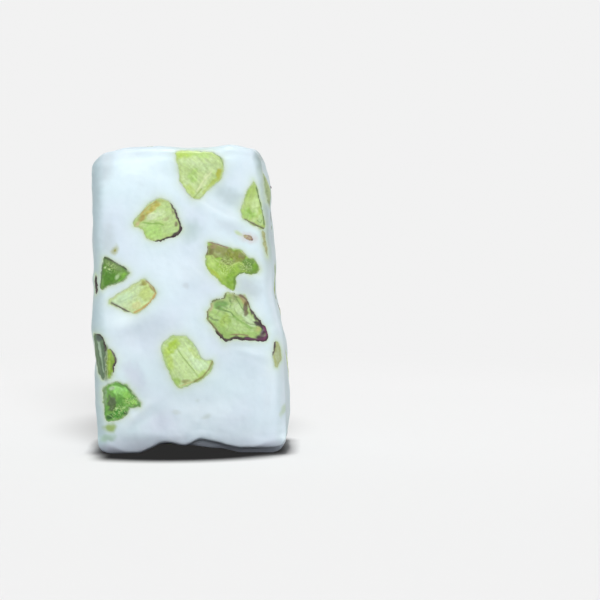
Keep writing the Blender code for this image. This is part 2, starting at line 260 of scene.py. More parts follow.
def line_gap(flat, start, end):
    """Return how far points lie from a straight line between two places."""
    along = end - start
    share = np.clip((flat - start) @ along / (along @ along), 0.0, 1.0)
    gap = flat - start - share[:, None] * along
    return np.hypot(gap[:, 0], gap[:, 1])


def hidden_marks():
    """Draw soft marks for the faces away from the front."""
    draw = random.Random(MARK_SEED)
    marks = []
    for facing, count, span, most in HIDDEN_MARKS:
        for _ in range(count):
            marks.append((facing, draw.uniform(-span, span), draw.uniform(4, 47),
                          draw.uniform(2.5, 6.0), draw.uniform(0.8, 2.2),
                          draw.uniform(-80, 80),
                          draw.choice((-1, 1)) * draw.uniform(0.3, 1) * most))
    return marks


def add_marks(points, normals):
    """Raise or press the soft marks into the surface."""
    rise = np.zeros(len(points))
    for facing, across, up, half_long, half_short, lean, height in (*MARKS, *hidden_marks()):
        outward, sideways, upward = face_axes(facing)
        along, beside = turned(points @ sideways - across, points @ upward - up, lean)
        weight = np.exp(-(along / half_long) ** 2 - (beside / half_short) ** 2)
        rise += weight * height * MARK_GAIN * smooth_share((normals @ outward - 0.2) / 0.5)
    return points + normals * rise[:, None]


# ---------------------------------------------------------------- pistachio outlines

# How ragged the outlines of crumbly pieces are, where it isn't 1.
RAGGED = {"front_low_left": 1.9, "front_large": 1.5, "front_two_tone": 1.3}
SURFACE_REACH = 0.4         # a solid's outer points lie this close to the plain block


class Kernel:
    """The outline of one pistachio piece on the block's surface, read from its solid."""

    def __init__(self, name, node, tree):
        self.name = name.replace("pistachio_", "")
        self.node = name
        solid = bmesh.new()
        solid.from_mesh(node.data)
        bmesh.ops.remove_doubles(solid, verts=solid.verts, dist=1e-6)
        outer = {vertex for vertex in solid.verts
                 if tree.find_nearest(vertex.co / MM)[3] < SURFACE_REACH}
        cap = [face for face in solid.faces if outer.issuperset(face.verts)]
        outward = sum((face.normal * face.calc_area() for face in cap), Vector())
        self.outward = np.array(outward.normalized())
        after = {loop.vert: loop.link_loop_next.vert for face in cap for loop in face.loops
                 if not set(loop.edge.link_faces).issubset(cap)}
        ring = [next(iter(after))]
        for _ in range(len(after) - 1):
            ring.append(after[ring[-1]])
        ring = np.array([vertex.co / MM for vertex in ring])
        solid.free()
        if abs(self.outward[2]) > 0.8:
            self.sideways = np.array((1.0, 0.0, 0.0))
        else:
            self.sideways = np.cross((0.0, 0.0, 1.0), self.outward)
        self.sideways /= np.linalg.norm(self.sideways)
        self.upward = np.cross(self.outward, self.sideways)
        self.middle = ring.mean(axis=0)
        self.outline = self.flatten(ring)
        self.reach = np.linalg.norm(self.outline, axis=1).max()
        self.seed = 3.0 + 7.3 * (sum(ord(letter) for letter in name) % 17)

    def flatten(self, points):
        """Return points in the piece's own across and up directions."""
        away = points - self.middle
        return np.stack((away @ self.sideways, away @ self.upward), 1)

    def inside(self, flat):
        """Return how far points lie inside the outline, negative outside."""
        starts = self.outline
        ends = np.roll(starts, -1, axis=0)
        nearest = np.full(len(flat), 1e9)
        crossings = np.zeros(len(flat), int)
        for start, end in zip(starts, ends):
            nearest = np.minimum(nearest, line_gap(flat, start, end))
            if start[1] != end[1]:
                spans = (start[1] > flat[:, 1]) != (end[1] > flat[:, 1])
                cross = (end[0] - start[0]) * (flat[:, 1] - start[1]) / (end[1] - start[1])
                crossings += spans & (flat[:, 0] < cross + start[0])
        return np.where(crossings % 2 == 1, nearest, -nearest)

    def rough_inside(self, flat):
        """Return the distance inside the outline with the uneven edge of a broken nut."""
        spots = np.column_stack((flat, np.full(len(flat), self.seed)))
        ragged = RAGGED.get(self.name, 1.0)
        return self.inside(flat) + ragged * (0.10 * noise_field(spots, 1.1)
                                             + 0.05 * noise_field(spots, 0.42, 5.0))


def read_kernels(tree):
    """Read every pistachio piece of the frame."""
    return [Kernel(name, node, tree) for name, node in sorted(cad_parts.items())
            if name != "nougat"]


# ---------------------------------------------------------------- meshes

def add_piece(name, mesh, material, slot, *nodes):
    """Put a mesh in the scene as a piece that rides on the bar."""
    mesh.name = name
    mesh.shade_smooth()
    mesh.materials.append(material)
    piece = bpy.data.objects.new(name, mesh)
    bpy.context.scene.collection.objects.link(piece)
    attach(piece, "root")
    if nodes:
        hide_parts(*nodes)
    return piece


def paint(mesh, name, values):
    """Store one colour for each point of a mesh."""
    colours = np.column_stack((values, np.ones(len(mesh.vertices))))
    layer = mesh.color_attributes.new(name, "FLOAT_COLOR", "POINT")
    layer.data.foreach_set("color", colours.ravel())


def srgb(red, green, blue):
    """Return a colour given as 0 to 255 display values as linear values."""
    share = np.array((red, green, blue)) / 255.0
    return np.where(share <= 0.04045, share / 12.92, ((share + 0.055) / 1.055) ** 2.4)


# Nougat colours, as they look under the studio light.
WHITE = srgb(221, 238, 245)
# a cyan tint with painted light, for the upper part
CYAN_AND_TOP_LIGHT = srgb(224, 243, 250)
# a teal tint with painted shade, for the faces that turn to the side
TEAL_AND_SIDE_SHADE = srgb(200, 219, 224)
LAVENDER = srgb(218, 228, 241)
NEAR_NUT = srgb(206, 224, 204)
# painted shade for the faces that turn down near the foot
UNDERSIDE_SHADE = srgb(168, 174, 188)
NEAR_NUT_REACH = 0.7        # the tint beside a nut fades over this distance
BESIDE_NUT = srgb(202, 221, 182)
BESIDE_NUT_REACH = 0.16
NOUGAT_GAIN = 0.93
LOW_SHADE = 0.05            # the lower part takes light back from the floor
TOP_SHADE = 0.15            # the upper end takes the top light, so it is this much darker
TOP_RANGE = (0.1, 0.7)      # from and to this upward lean

# Faint stains where a nut lies just under the surface: place across and up, half length,
# half width, lean in degrees, colour and strength.
STAINS = (
    (-12.1, 33.8, 0.75, 0.45, 65, (178, 186, 140), 0.85),
    (-13.1, 4.4, 0.95, 0.6, 5, (160, 188, 104), 0.95),
    (-13.6, 2.7, 1.2, 0.6, 5, (176, 206, 186), 0.8),
    (-13.62, 15.0, 2.9, 0.36, 90, (104, 128, 66), 1.0),
    (8.2, 36.4, 0.9, 0.25, -28, (196, 216, 160), 0.8),
    (9.8, 35.7, 1.3, 0.8, -10, (212, 206, 206), 0.6),
    (-0.4, 27.9, 0.5, 0.45, 0, (198, 209, 216), 0.6),
    (2.9, 6.3, 0.7, 0.35, 20, (200, 214, 212), 0.6),
    (-2.2, 7.0, 0.6, 0.35, -10, (204, 216, 216), 0.6),
    (1.3, 8.9, 0.35, 0.3, 0, (200, 216, 216), 0.6),
    (15.5, 7.2, 0.9, 0.4, 70, (188, 208, 178), 0.7),
    (-0.1, 48.0, 0.8, 1.6, 80, (214, 220, 232), 0.5),
    (-0.6, 44.3, 1.6, 0.7, -70, (208, 212, 230), 0.5),
)
# Painted shade and highlights in broad soft patches, mostly over the soft marks: place
# across and up, half length, half width, lean in degrees, colour and strength.
SHADE_AND_HIGHLIGHT_PATCHES = (
    (-7.1, 20.7, 4.2, 1.9, 12, (204, 217, 227), 0.8),
    (-11.2, 22.3, 2.3, 1.2, 8, (236, 249, 255), 0.8),
    (9.6, 27.4, 2.2, 1.6, -30, (192, 205, 211), 0.85),
    (6.8, 37.6, 2.2, 1.2, -20, (208, 221, 230), 0.8),
    (7.5, 14.1, 3.4, 1.8, 0, (210, 226, 236), 0.7),
    (2.1, 7.4, 4.6, 1.8, 0, (232, 245, 252), 0.7),
    (7.2, 42.0, 3.6, 1.3, -30, (190, 207, 212), 0.9),
    (6.3, 39.6, 4.4, 1.0, -25, (224, 238, 246), 0.9),
    (0.2, 36.8, 1.6, 1.5, 30, (192, 212, 214), 0.8),
    (-9.0, 46.4, 5.0, 3.2, 0, (228, 245, 252), 0.8),
    (-13.6, 47.6, 2.4, 1.1, 85, (206, 219, 226), 0.8),
    (-13.3, 35.4, 3.0, 1.1, 88, (200, 213, 220), 0.8),
    (10.4, 46.0, 2.2, 2.2, 0, (228, 241, 249), 0.7),
    (-8.9, 12.7, 2.8, 1.3, -60, (210, 218, 232), 0.8),
    (-8.5, 6.8, 3.4, 1.0, 38, (230, 242, 252), 0.8),
    (-4.9, 5.2, 2.6, 1.6, 20, (214, 222, 236), 0.7),
    (3.3, 11.5, 6.0, 2.6, 0, (216, 233, 240), 0.7),
    (13.5, 12.5, 4.6, 1.0, 84, (228, 240, 248), 0.7),
    (0.9, 28.8, 2.6, 2.0, 0, (212, 226, 235), 0.7),
)
SHADE_PATCH_SOFTNESS = 1.6
STAIN_SOFTNESS = 1.2
# Painted shade on the rounded upright edges: on the left, high on the right and low on the
# right.
CORNER_SHADES = (srgb(186, 206, 213), srgb(168, 184, 184), srgb(220, 232, 240))


def nougat_colours(points, normals, near, beside):
    """Return the nougat's colour at each point, with painted shade and highlights in it."""
    x, z = points[:, 0], points[:, 2]
    uneven = noise_field(points, 0.8, 31.0)
    front = smooth_share((-normals[:, 1] - 0.2) / 0.3)
    aside = np.abs(normals[:, 0])
    # painted shade on the rounded upright edges, fading out on the side faces themselves
    corner = smooth_share((aside - 0.05 + 0.08 * uneven) / 0.9)
    corner *= 1.0 - 0.8 * smooth_share((aside - 0.85) / 0.15)
    left, upper_right, lower_right = CORNER_SHADES
    right = mix(np.tile(lower_right, (len(x), 1)), upper_right, smooth_share((z - 27.0) / 9.0))
    # painted shade on the faces that turn down near the foot
    under = smooth_share((-normals[:, 2] - 0.3) / 0.4) * smooth_share(1.0 - z / 4.0)
    colours = layered(WHITE, len(points), [
        # the upper part is painted lighter and more cyan, as light from above falls on it
        (CYAN_AND_TOP_LIGHT, smooth_share((z - 30.0) / 18.0) * 0.8),
        (LAVENDER, 0.30 + 0.35 * noise_field(points, 6.5, 21.0)),
        (LAVENDER, smooth_share(1.0 - z / 5.0)),
        # painted shade and highlights in broad patches on the front
        *((srgb(*tone[5]), front * patch_share(x, z, (*tone, SHADE_PATCH_SOFTNESS), 0.5 * uneven))
          for tone in SHADE_AND_HIGHLIGHT_PATCHES),
        # faces turned to the side take a teal tint and painted shade
        (TEAL_AND_SIDE_SHADE, smooth_share((aside - 0.1) / 0.8)),
        (left, corner * (x < 0)), (right, corner * (x > 0)),
        (NEAR_NUT, 0.7 * near), (BESIDE_NUT, 0.8 * beside),
        *((srgb(*stain[5]), front * patch_share(x, z, (*stain, STAIN_SOFTNESS), uneven))
          for stain in STAINS)])
    lit = smooth_share((normals[:, 2] - TOP_RANGE[0]) / (TOP_RANGE[1] - TOP_RANGE[0]))
    colours *= (1.0 - TOP_SHADE * lit * (z > HEIGHT / 2))[:, None]
    colours = mix(colours, UNDERSIDE_SHADE, 0.8 * under)
    colours *= (1.0 - LOW_SHADE * smooth_share((26.0 - z) / 12.0))[:, None]
    return np.clip(colours * NOUGAT_GAIN, 0.0, 1.0)


def add_fine_lumps(points, normals):
    """Add the small unevenness of the surface, which fades out at the foot."""
    fine = sum(rise * noise_field(points, size, 11.0) for size, rise in FINE_LUMPS)
    return points + normals * (fine * smooth_share(points[:, 2] / 1.5))[:, None]


def soften_edges(points, normals):
    """Let the broad faces curve in a little before their upright edges."""
    reach = np.where(points[:, 0] < 0, profile_at(LEFT_SIDE, points[:, 2]),
                     profile_at(RIGHT_SIDE, points[:, 2]))
    past = np.maximum(np.abs(points[:, 0]) - (reach - EDGE_RADIUS - SOFT_RUN), 0.0)
    points[:, 1] -= SOFT_CURVE * past ** 2 * normals[:, 1]
    return points


def build_nougat(mesh, points, normals, kernels, material):
    """Press the pockets into the fine block and tint it near the pistachio pieces."""
    push = np.zeros_like(points)
    near, beside = np.zeros((2, len(points)))
    for kernel in kernels:
        away = points - kernel.middle
        close = np.flatnonzero((np.linalg.norm(away, axis=1) < kernel.reach + 3.0)
                               & (away @ kernel.outward > -2.6)
                               & (normals @ kernel.outward > 0.1))
        flat = kernel.flatten(points[close])
        inside = kernel.rough_inside(flat)
        share = smooth_share((inside + POCKET_LIP) / POCKET_WALL)
        push[close] -= share[:, None] * POCKET_DEPTH * kernel.outward
        for tint, reach in ((near, NEAR_NUT_REACH), (beside, BESIDE_NUT_REACH)):
            tint[close] = np.maximum(tint[close], np.exp(np.minimum(inside, 0.0) / reach))
    colours = nougat_colours(points, normals, near, beside)
    points = points + push
    points[:, 2] = np.maximum(points[:, 2], 0.0)
    write_points(mesh, points)
    paint(mesh, "nougat_colour", colours)
    return add_piece("nougat_block", mesh, material, "nougat", "nougat")


FRESH = (184, 208, 110)
LEAF = (120, 158, 62)
DEEP = (72, 122, 38)
OLIVE = (142, 146, 88)
RIM = (160, 164, 78)
TAN = (176, 150, 92)
SKIN = (58, 34, 46)

# How each piece at the front looks: main colour, second colour, rim colour, direction of
# its grain in degrees, and stretches of dark skin along its rim (from and to in degrees,
# anticlockwise from the right, and thickness).
LOOKS = {
    "front_top": ((194, 218, 152), (186, 212, 132), (186, 208, 118), -42, ()),
    "front_upper_left": ((188, 214, 142), (178, 208, 124), (172, 190, 106), 20,
                         ((-98, -38, 0.28), (-44, -16, 0.5), (-24, 52, 0.36))),
    "front_right_wedge": ((186, 212, 130), (170, 200, 98), (160, 190, 100), 80, ()),
    "front_two_tone": ((164, 200, 84), (148, 190, 66), (138, 168, 66), -50, ()),
    "front_large": ((172, 204, 126), (156, 192, 104), (142, 138, 92), -35,
                    ((214, 320, 0.54), (306, 346, 0.80), (338, 398, 0.42))),
    "front_low_middle": ((196, 222, 158), (190, 216, 140), (128, 166, 54), -52, ()),
    "front_left_dark": ((110, 152, 66), (88, 138, 46), (84, 110, 66), 40, ()),
    "front_left_pale": ((204, 226, 174), (198, 218, 152), (186, 200, 122), 30, ()),
    "edge_left": ((114, 140, 108), (96, 124, 90), (76, 94, 74), 92,
                  ((28, 100, 0.20),)),
    "front_left_bud": ((160, 194, 66), (142, 178, 52), (104, 122, 44), 90,
                       ((-72, 92, 0.22),)),
    "front_low_left": ((118, 178, 74), (92, 156, 58), (84, 126, 64), 60, ()),
    "edge_right_low": ((186, 196, 156), (168, 182, 136), RIM, 90, ((100, 190, 0.18),)),
    "edge_right_sliver": ((196, 206, 158), (186, 196, 134), (150, 140, 104), 90, ()),
    "edge_left_sliver": ((70, 84, 70), DEEP, SKIN, 90, ((0, 360, 0.3),)),
    "edge_right_upper": ((182, 198, 150), (166, 186, 124), (118, 132, 108), 90, ()),
}
MAIN_COLOURS = ((194, 216, 148), (178, 204, 120), (152, 186, 94),
                (122, 162, 70))
SECOND_COLOURS = (FRESH, LEAF, DEEP)
RIM_COLOURS = (RIM, TAN, OLIVE, (84, 104, 50))

# Patches of another colour on the broken faces: place across and up, half length, half
# width, lean in degrees, colour, strength, softness of the edge and rise.
PATCH_END = (0.8, 0.9, 0.0)     # the last three, where a row leaves them out
PATCHES = {
    "front_top": (
        (-1.0, 49.3, 1.6, 0.7, 6, (176, 206, 82), 0.85),
        (1.8, 49.3, 1.8, 0.5, -4, (172, 210, 112), 0.6),
        (1.2, 47.6, 2.4, 0.8, -12, (202, 226, 172), 0.6, 1.0, 0.03),
        (0.8, 45.8, 1.2, 0.7, 70, (172, 210, 112), 0.7),
        (2.6, 45.0, 2.0, 0.5, 52, (210, 226, 172), 0.7, 0.7, 0.04),
        (4.9, 46.1, 0.9, 0.5, 76, (176, 182, 54), 0.9, 0.7, 0.04),
        (3.7, 44.5, 1.8, 0.35, 48, (174, 194, 82), 0.8, 0.6),
        (0.4, 43.6, 0.9, 0.5, -50, (174, 202, 82), 0.7, 0.8)),
    "front_upper_left": (
        (-5.9, 40.5, 1.9, 0.5, 42, (188, 174, 72), 0.85),
        (-7.6, 39.0, 0.8, 0.6, 40, (166, 142, 62), 0.85, 0.8, 0.04),
        (-8.4, 38.0, 0.5, 0.4, 60, (196, 178, 134), 0.8, 0.7),
        (-5.8, 39.3, 1.2, 0.6, 25, (216, 230, 192), 0.75, 0.8, 0.06),
        (-4.2, 39.4, 1.3, 0.9, -20, (196, 220, 160), 0.6, 0.8, 0.03),
        (-5.9, 36.7, 1.9, 1.2, -6, (172, 214, 116), 0.8, 0.9, -0.06),
        (-3.2, 37.2, 1.3, 0.9, 20, (192, 222, 150), 0.7),
        (-3.7, 38.8, 0.45, 0.3, 30, (150, 156, 88), 0.6, 1.2, -0.05),
        (-2.0, 38.0, 0.26, 0.4, 0, (112, 92, 68), 0.8, 1.2),
        (-2.6, 40.0, 0.18, 0.4, 20, (116, 102, 70), 0.7, 1.2)),
    "front_right_wedge": (
        (11.0, 41.2, 2.4, 0.5, 80, (200, 226, 156), 0.7),
        (9.8, 39.7, 1.2, 0.8, -30, (148, 194, 80)),
        (11.8, 38.7, 1.0, 0.5, 70, (194, 222, 164), 0.7, 0.8, 0.03)),
    "front_two_tone": (
        (5.2, 33.4, 2.6, 1.25, -10, (144, 150, 82), 0.98, 0.16, 0.12),
        (7.8, 32.7, 1.6, 0.95, -18, (140, 150, 62), 0.98, 0.16, 0.12),
        (6.2, 31.9, 1.1, 0.9, -10, (140, 156, 80), 0.98, 0.2, 0.08),
        (8.8, 32.7, 0.7, 0.5, -30, (118, 108, 58), 0.75, 0.8),
        (3.5, 33.6, 0.9, 0.5, 80, (118, 108, 64), 0.75, 0.7),
        (3.9, 34.3, 0.7, 0.3, -10, (170, 150, 112), 0.7, 0.7),
        (5.2, 32.7, 1.0, 0.35, -28, (162, 178, 110), 0.7, 0.6, 0.04),
        (3.6, 31.7, 1.3, 0.7, -60, (192, 220, 128), 0.8, 0.8, 0.05),
        (4.1, 29.9, 1.4, 0.35, -42, (186, 206, 72), 0.8, 0.7),
        (6.8, 28.7, 1.6, 0.7, 75, (128, 172, 44), 0.85),
        (10.3, 31.2, 1.7, 1.3, -28, (98, 140, 48), 0.97, 0.4),
        (10.8, 31.0, 0.7, 0.4, 60, (120, 168, 40), 0.85, 1.0, 0.05),
        (9.0, 30.8, 1.0, 0.5, -10, (126, 158, 72), 0.8, 0.9, 0.05)),
    "front_large": (
        (5.2, 24.8, 1.3, 0.6, 4, (96, 150, 62), 0.8, 1.2, -0.08),
        (7.4, 25.6, 1.0, 0.6, -30, (138, 158, 88), 0.85, 1.2, -0.04),
        (6.3, 26.6, 0.5, 0.4, 60, (156, 190, 100), 0.8, 0.6, 0.05),
        (8.1, 24.0, 1.4, 0.7, -50, (196, 220, 166), 0.75, 0.8, 0.07),
        (5.9, 22.1, 1.2, 0.8, 80, (164, 196, 88)),
        (9.8, 22.2, 1.4, 0.6, -48, (200, 224, 180), 0.75, 0.8, 0.07),
        (7.3, 21.0, 1.5, 0.7, 0, (184, 214, 142), 0.6, 0.9, 0.04),
        (4.4, 20.7, 0.8, 0.4, -50, (176, 200, 138), 0.6, 0.8),
        (8.9, 25.7, 1.1, 0.45, -55, (168, 146, 96), 0.85, 1.0, 0.06),
        (9.3, 24.4, 0.7, 0.35, 75, (88, 64, 42), 0.88, 0.9, 0.03),
        (9.4, 23.3, 0.45, 0.3, 60, (100, 78, 56), 0.8, 1.0),
        (3.6, 24.3, 0.7, 0.35, 70, (196, 176, 144), 0.7, 0.7),
        (12.2, 19.9, 0.7, 0.5, 60, (88, 50, 76), 0.9, 0.8, 0.04),
        (11.3, 20.7, 0.5, 0.35, 50, (188, 188, 122), 0.7, 1.0, 0.04)),
    "front_low_middle": (
        (-2.9, 17.7, 1.4, 0.85, 60, (172, 206, 62), 0.95, 1.0),
        (-3.3, 15.8, 2.0, 0.5, -72, (178, 206, 96), 0.8, 1.0),
        (1.8, 15.0, 2.2, 1.0, -38, (208, 234, 192), 0.7, 1.0),
        (0.9, 16.6, 1.4, 0.4, -50, (192, 216, 124), 0.6, 0.8),
        (-0.5, 12.2, 0.8, 0.3, 12, (148, 146, 78), 0.8, 1.0, 0.03),
        (-2.0, 12.2, 0.8, 0.5, -60, (150, 192, 68), 0.7, 0.8),
        (2.2, 13.4, 1.2, 0.4, 48, (170, 206, 88), 0.75, 0.7)),
    "front_left_dark": (
        (-12.6, 31.3, 1.8, 0.45, -28, (124, 154, 92), 0.8, 0.7, 0.03),
        (-13.2, 29.3, 1.4, 0.85, 58, (82, 136, 34), 0.92, 0.4, -0.12),
        (-13.8, 30.8, 0.24, 0.16, 20, (196, 220, 166), 0.8, 1.0, 0.1),
        (-13.1, 30.5, 0.24, 0.15, -30, (188, 216, 152), 0.8, 1.0, 0.1),
        (-11.7, 29.4, 0.55, 0.3, 60, (176, 208, 152), 0.85, 1.0, 0.1),
        (-11.1, 29.8, 0.5, 0.3, 10, (138, 182, 92), 0.8, 1.0, 0.05),
        (-10.6, 29.6, 0.6, 0.4, 50, (130, 188, 62), 0.85, 0.9, 0.06),
        (-11.2, 28.7, 0.7, 0.3, 30, (122, 178, 66), 0.8, 0.6, 0.04)),
    "front_left_pale": (
        (-11.0, 25.9, 1.9, 1.0, 24, (202, 230, 188), 0.85, 1.0),
        (-7.0, 26.6, 1.6, 1.1, 60, (192, 212, 118), 0.8, 1.0),
        (-7.4, 28.3, 0.6, 0.45, 20, (160, 160, 72), 0.9, 0.7, 0.04),
        (-6.0, 27.5, 0.9, 0.25, -52, (158, 140, 76), 0.85, 0.7),
        (-8.6, 24.6, 0.9, 0.5, 20, (212, 214, 150), 0.7)),
    "edge_left": (
        (-14.9, 17.5, 1.6, 0.22, 98, (168, 194, 168), 0.8, 0.7),
        (-14.6, 14.6, 1.4, 0.16, 100, (96, 124, 92), 0.8, 0.7),
        (-15.0, 19.3, 0.6, 0.4, 90, (84, 94, 92), 0.85, 0.8)),
    "front_left_bud": (
        (-13.2, 15.4, 1.4, 0.3, 90, (170, 202, 92), 0.8, 0.8),
        (-12.6, 15.4, 1.2, 0.25, 90, (118, 156, 40), 0.7, 0.8),
        (-13.1, 13.0, 0.5, 0.3, 0, (134, 190, 46), 0.8, 0.7)),
    "front_low_left": (
        (-11.4, 10.6, 1.3, 0.75, -16, (158, 222, 120), 0.9, 0.7, 0.1),
        (-10.3, 9.9, 0.9, 0.5, -50, (144, 208, 90), 0.8, 0.7, 0.05),
        (-14.0, 9.6, 1.9, 0.5, 88, (138, 164, 126), 0.85),
        (-12.7, 11.0, 0.45, 0.3, 20, (194, 216, 180), 0.75, 1.0, 0.05),
        (-11.4, 8.0, 1.3, 0.5, 92, (88, 148, 56), 0.85, 0.7, -0.1),
        (-12.8, 8.6, 1.4, 0.7, 97, (82, 98, 66), 0.92, 0.8, 0.04),
        (-12.4, 8.0, 0.4, 0.3, 60, (62, 94, 36), 0.8, 0.7),
        (-9.0, 8.7, 0.7, 0.4, -20, (152, 212, 92), 0.85, 0.5, 0.08),
        (-8.2, 8.4, 0.5, 0.35, -60, (76, 138, 46), 0.8, 0.7),
        (-12.0, 7.6, 0.24, 0.16, 10, (188, 224, 160), 0.9, 0.5, 0.1),
        (-10.8, 7.7, 0.4, 0.2, 20, (164, 212, 128), 0.9, 0.5, 0.1),
        (-11.2, 6.9, 0.2, 0.14, 40, (160, 208, 124), 0.85, 0.5, 0.08),
        (-11.9, 6.7, 1.1, 0.65, 16, (66, 148, 46), 0.85, 0.6, -0.05),
        (-13.2, 6.1, 0.6, 0.45, 20, (42, 98, 32), 0.9, 0.6, -0.05),
        (-10.4, 6.9, 0.4, 0.3, 30, (46, 86, 36), 0.9, 0.5, 0.05)),
}

# Lines on the broken faces: colour, half width, rise and the places, across and up, that
# they run through.
LINES = {
    "front_top": (
        # a painted highlight along a small ridge, inside the yellow edge
        ((220, 232, 178), 0.12, 0.07, 3.7, 46.4, 2.7, 45.4, 2.0, 44.5, 1.4, 43.4),
        ((112, 146, 78), 0.09, 0.0, 3.6, 49.8, 5.2, 48.8, 5.7, 47.6),
        ((150, 176, 70), 0.1, -0.05, 2.1, 43.7, 1.4, 42.9, 0.8, 42.2)),
    "front_upper_left": (
        ((142, 184, 84), 0.16, -0.07, -7.5, 38.2, -6.1, 38.0, -4.9, 38.1, -4.2, 37.8),
        ((188, 160, 84), 0.1, 0.04, -7.9, 39.4, -6.6, 40.8, -5.3, 41.7)),
    "front_right_wedge": (
        ((96, 122, 76), 0.11, 0.0, 11.1, 43.9, 11.7, 41.7, 12.2, 39.6, 12.4, 37.8),
        ((92, 76, 70), 0.15, 0.0, 9.2, 38.7, 10.2, 38.2, 11.0, 37.8, 12.3, 37.2),
        ((130, 168, 86), 0.07, -0.04, 11.2, 38.6, 11.7, 38.1, 12.0, 38.6)),
    "front_two_tone": (
        ((148, 108, 100), 0.15, 0.0, 3.4, 35.0, 4.7, 34.7, 6.3, 34.1),
        ((116, 86, 72), 0.14, 0.0, 3.1, 34.3, 3.0, 33.0),
        ((192, 218, 126), 0.13, 0.1, 2.9, 32.6, 3.8, 32.8, 4.6, 31.9, 5.7, 31.5, 6.3, 30.8,
         7.1, 31.3, 8.2, 31.7, 8.9, 31.3),
        ((190, 192, 140), 0.12, 0.0, 8.8, 33.4, 9.6, 32.8, 10.2, 32.6),
        ((98, 136, 44), 0.17, 0.0, 7.4, 27.3, 7.5, 29.3, 8.4, 29.9, 11.0, 29.9)),
    "front_large": (
        ((104, 146, 72), 0.1, -0.1, 4.4, 24.2, 5.7, 23.8, 6.8, 23.5, 7.4, 22.8),
        ((138, 182, 86), 0.18, -0.1, 7.4, 22.8, 8.3, 22.1, 9.6, 21.3, 10.2, 20.8),
        ((106, 126, 84), 0.1, -0.08, 3.0, 23.0, 3.9, 22.3, 4.7, 22.2),
        ((116, 150, 82), 0.08, -0.06, 6.6, 25.9, 6.9, 24.9, 6.7, 24.3),
        ((116, 150, 82), 0.08, -0.06, 7.6, 26.0, 8.2, 25.0, 8.9, 23.8),
        ((124, 152, 88), 0.08, -0.06, 9.4, 21.9, 10.1, 21.5, 10.9, 21.5),
        ((94, 98, 68), 0.13, 0.0, 3.7, 25.2, 4.7, 25.7, 5.8, 25.8, 6.0, 26.6),
        ((98, 70, 52), 0.17, 0.0, 7.5, 26.7, 8.8, 26.1, 9.6, 25.4, 9.9, 24.4),
        ((104, 76, 62), 0.12, 0.0, 3.0, 24.0, 3.1, 22.3, 4.2, 21.0, 5.3, 19.6),
        ((142, 106, 84), 0.1, 0.0, 6.8, 19.8, 8.3, 19.9, 9.6, 19.7),
        ((122, 50, 100), 0.2, 0.04, 12.3, 21.0, 12.8, 19.9, 12.3, 19.1),
        ((104, 48, 88), 0.16, 0.0, 12.0, 19.1, 10.6, 19.1, 9.4, 19.2)),
    "front_low_middle": (
        ((156, 188, 104), 0.09, -0.1, -2.0, 17.5, -1.0, 16.1, 0.0, 14.8, 0.8, 13.9, 1.4, 12.9),
        ((132, 128, 62), 0.18, 0.0, 3.8, 15.4, 3.2, 14.1, 2.2, 12.9, 0.8, 12.1),
        ((196, 172, 118), 0.08, 0.0, -1.6, 11.3, -0.4, 11.8, 0.6, 12.1)),
    "front_left_dark": (
        ((62, 72, 50), 0.15, 0.0, -14.1, 32.6, -12.6, 32.0, -11.2, 31.2, -10.1, 30.5),
        ((112, 134, 110), 0.12, 0.0, -14.2, 32.0, -14.5, 29.8, -14.7, 27.6)),
    "front_left_pale": (
        ((196, 158, 88), 0.18, 0.0, -5.4, 26.6, -6.3, 25.2, -7.7, 24.1, -8.9, 23.5),
        ((150, 124, 76), 0.12, 0.0, -7.0, 28.7, -5.9, 27.8, -5.4, 26.7),
        ((62, 40, 56), 0.17, 0.0, -12.7, 25.0, -11.1, 24.2, -9.7, 23.5)),
    "edge_left": (
        ((92, 116, 92), 0.06, -0.03, -15.3, 18.2, -14.9, 15.6, -14.5, 12.8),
        ((176, 198, 174), 0.06, 0.03, -15.1, 18.4, -14.6, 15.8, -14.2, 13.6),
        ((98, 122, 96), 0.06, -0.03, -14.7, 18.2, -14.3, 16.2, -14.1, 14.4)),
    "front_low_left": (
        ((84, 112, 60), 0.11, 0.0, -11.6, 11.9, -10.3, 11.3, -9.6, 10.4),
        ((150, 196, 118), 0.06, 0.04, -13.6, 6.6, -12.9, 6.3, -12.5, 5.8)),
}
# Bright grit where the break is crumbly: (across, up, reach).
GRIT_COLOUR = srgb(206, 226, 150)
GRIT = {"front_two_tone": ((6.1, 31.1, 1.8), (9.4, 31.0, 1.4)),
        "front_low_left": ((-9.6, 8.9, 1.6), (-11.6, 7.0, 1.6)),
        "front_left_dark": ((-12.8, 30.9, 1.3),)}


def look_of(name):
    """Return a piece's look, drawn by its name where it isn't one of the front's."""
    if name in LOOKS:
        return LOOKS[name]
    draw = random.Random(name)
    arcs = tuple((start, start + draw.uniform(60, 150), draw.uniform(0.3, 0.6))
                 for start in [draw.uniform(0, 360)] * draw.choice((0, 1, 1)))
    return (draw.choice(MAIN_COLOURS), draw.choice(SECOND_COLOURS), draw.choice(RIM_COLOURS),
            draw.uniform(0, 180), arcs)


def mix(first, second, share):
    """Blend two colours, each one colour or one for each point, by a share for each point."""
    share = np.clip(share, 0.0, 1.0)[:, None]
    return first * (1.0 - share) + second * share


def whole(patch):
    """Return a patch with the usual values where its row leaves them out."""
    return (*patch, *PATCH_END[len(patch) - 6:])


def layered(first, count, layers):
    """Blend (colour, share) layers over one colour, for a number of points."""
    colours = np.tile(first, (count, 1))
    for colour, share in layers:
        colours = mix(colours, colour, share)
    return colours


def patch_share(x, z, patch, uneven):
    """Return how strongly a patch covers each point."""
    across, up, half_long, half_short, lean, _, strength, softness, _ = whole(patch)
    along, beside = turned(x - across, z - up, lean)
    distance = np.hypot(along / half_long, beside / half_short)
    return strength * smooth_share((1.0 - distance + 0.28 * uneven) / softness + 0.5)


